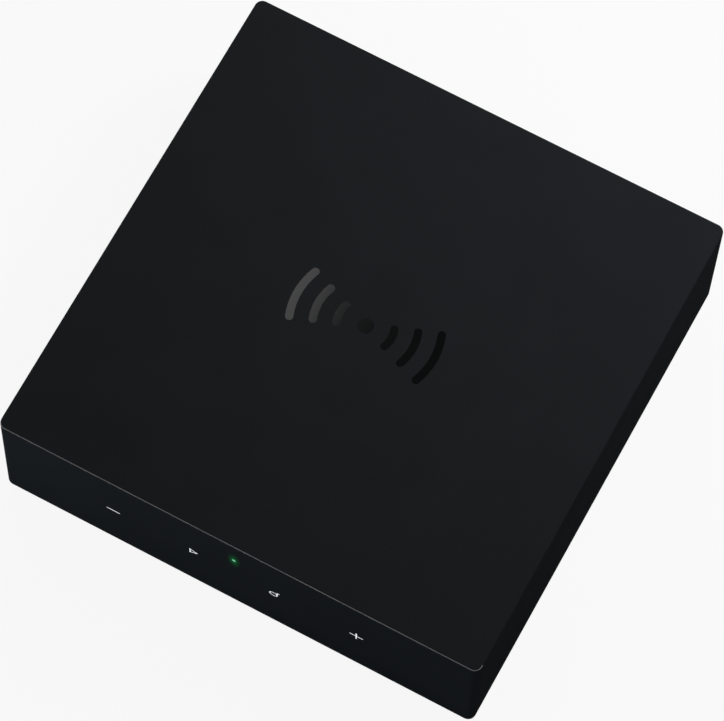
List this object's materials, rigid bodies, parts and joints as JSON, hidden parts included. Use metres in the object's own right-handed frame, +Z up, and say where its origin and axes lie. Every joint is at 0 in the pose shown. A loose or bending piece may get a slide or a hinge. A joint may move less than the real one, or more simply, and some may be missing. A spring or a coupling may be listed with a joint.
{
  "type": "network music player",
  "caption": "Square flat network music player: black moulded case, touch marks on the front, and a recessed bay of audio, optical, network and power sockets at the back.",
  "frame": {"origin": "centre of the rubber foot's underside, on the table", "axes": "+Z up, -Y out of the front with the touch marks, +Y out of the socket bay at the back, +X to the right seen from the front"},
  "size_m": [0.14, 0.1425, 0.042],
  "materials": {
    "case_plastic": "fine satin moulded",
    "cover_plastic": "moulded",
    "panel_plastic": "matt",
    "foot_rubber": "matt rubber",
    "dark_screw": "black zinc plated",
    "ballast_steel": "zinc plated",
    "mark_print": "near white",
    "emblem_gloss": "glossy black",
    "board_green": "solder mask",
    "copper_foil": "copper",
    "chip_black": "moulded",
    "led_body": "pale lens",
    "light_clear": "clear, lit green",
    "ribbon_white": "satin film",
    "socket_ivory": "moulded",
    "bright_screw": "nickel plated",
    "tin_plate": "tinned",
    "pad_grey": "soft",
    "anodised": "black anodised",
    "relay_case": "moulded",
    "ferrite": "sintered",
    "can_sleeve": "plain can",
    "ceramic_tan": "ceramic",
    "aerial_board": "black solder mask",
    "lead_grey": "extruded",
    "gold_plate": "gold plated",
    "jack_black": "moulded",
    "insert_white": "moulded",
    "insert_red": "moulded",
    "insert_orange": "moulded",
    "barrel_nickel": "nickel plated",
    "shutter_black": "moulded",
    "spring_steel": "drawn wire",
    "opto_red": "clear red epoxy",
    "opto_dark": "dark epoxy"
  },
  "bodies": {
    "player": {"upper_shell": "case_plastic", "base_cover": "cover_plastic", "rear_panel": "panel_plastic", "foot_pad": "foot_rubber", "base_screws": "dark_screw", "ballast_plate": "ballast_steel", "touch_marks": "mark_print", "top_emblem": "emblem_gloss", "touch_board": "board_green", "touch_electrodes": "copper_foil", "touch_chip": "chip_black", "status_led": "led_body", "light_pipe": "light_clear", "touch_ribbon": "ribbon_white", "ribbon_sockets": "socket_ivory", "main_board": "board_green", "board_screws": "bright_screw", "network_module": "board_green", "module_header": "chip_black", "module_shield": "tin_plate", "thermal_pad": "pad_grey", "heat_sink": "anodised", "dac_chip": "chip_black", "audio_amplifiers": "chip_black", "mute_relays": "relay_case", "ethernet_transformer": "chip_black", "clock_crystals": "tin_plate", "power_inductors": "ferrite", "filter_capacitors": "can_sleeve", "ceramic_capacitors": "ceramic_tan", "antennas": "aerial_board", "antenna_cable_left": "lead_grey", "antenna_cable_right": "lead_grey", "antenna_plugs": "gold_plate", "line_in_body": "jack_black", "line_out_body": "jack_black", "coax_body": "jack_black", "line_in_white_insert": "insert_white", "line_out_white_insert": "insert_white", "line_in_red_insert": "insert_red", "line_out_red_insert": "insert_red", "coax_insert": "insert_orange", "phono_barrels": "barrel_nickel", "phono_contacts": "gold_plate", "optical_out_housing": "jack_black", "optical_in_housing": "jack_black", "optical_emitter": "opto_red", "optical_receiver": "opto_dark", "trigger_jack_body": "jack_black", "trigger_contacts": "gold_plate", "ethernet_shield": "tin_plate", "ethernet_insert": "jack_black", "ethernet_contacts": "gold_plate", "usb_shell": "tin_plate", "usb_tongue": "chip_black"},
    "optical_out_flap": {"optical_out_shutter": "shutter_black", "optical_out_spring": "spring_steel"},
    "optical_in_flap": {"optical_in_shutter": "shutter_black", "optical_in_spring": "spring_steel"}
  },
  "joints": [
    {"name": "optical_out_hinge", "type": "hinge", "parent": "player", "child": "optical_out_flap", "pos_m": [0.00426, 0.0628, 0.01805], "axis": [-1, 0, 0], "range_deg": [0, 88], "stiffness_Nm_per_rad": 0.0003, "springref_deg": -20.05, "deforming": ["optical_out_spring"]},
    {"name": "optical_in_hinge", "type": "hinge", "parent": "player", "child": "optical_in_flap", "pos_m": [-0.00882, 0.0628, 0.01805], "axis": [-1, 0, 0], "range_deg": [0, 88], "stiffness_Nm_per_rad": 0.0003, "springref_deg": -20.05, "deforming": ["optical_in_spring"]}
  ]
}
